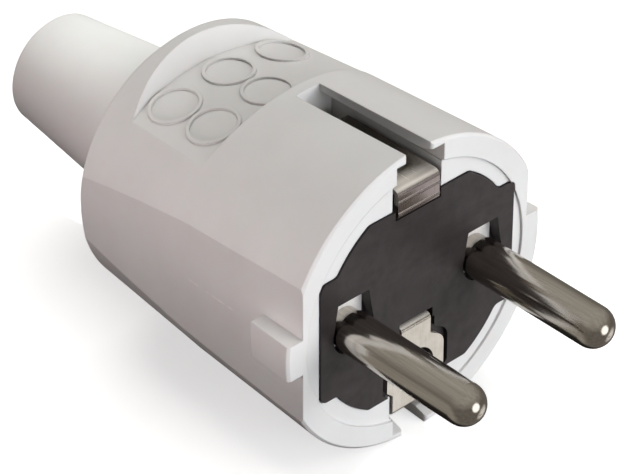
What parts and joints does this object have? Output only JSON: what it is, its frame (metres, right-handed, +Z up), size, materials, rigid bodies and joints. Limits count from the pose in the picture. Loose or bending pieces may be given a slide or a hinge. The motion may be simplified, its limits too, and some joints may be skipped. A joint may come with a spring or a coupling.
{
  "type": "type f plug",
  "caption": "Straight rewirable mains plug with round contact pins, earth grooves above and below, a dark pin carrier and a tapered cord sleeve.",
  "frame": {"origin": "midway between the two pins, in the plane of the hood's front rim", "axes": "+Y along the plug's axis towards the cord, pins along -Y, +X towards the right pin, +Z up with the first earth groove on top"},
  "size_m": [0.0372, 0.0786, 0.037],
  "materials": {
    "hood": "satin moulded",
    "carrier": "satin moulded",
    "pin": "nickel plated",
    "terminal": "nickel plated",
    "earth": "nickel plated, satin",
    "screw": "zinc plated",
    "saddle": "satin moulded"
  },
  "bodies": {
    "root": {"hood": "hood", "pin_carrier": "carrier", "left_pin": "pin", "right_pin": "pin", "left_terminal_block": "terminal", "right_terminal_block": "terminal", "left_terminal_screw": "screw", "right_terminal_screw": "screw", "earth_bracket": "earth", "earth_wire_clamp": "earth", "earth_terminal_screw": "screw", "fixing_screw": "screw", "cord_saddle": "saddle", "left_saddle_screw": "screw", "right_saddle_screw": "screw"}
  },
  "joints": []
}
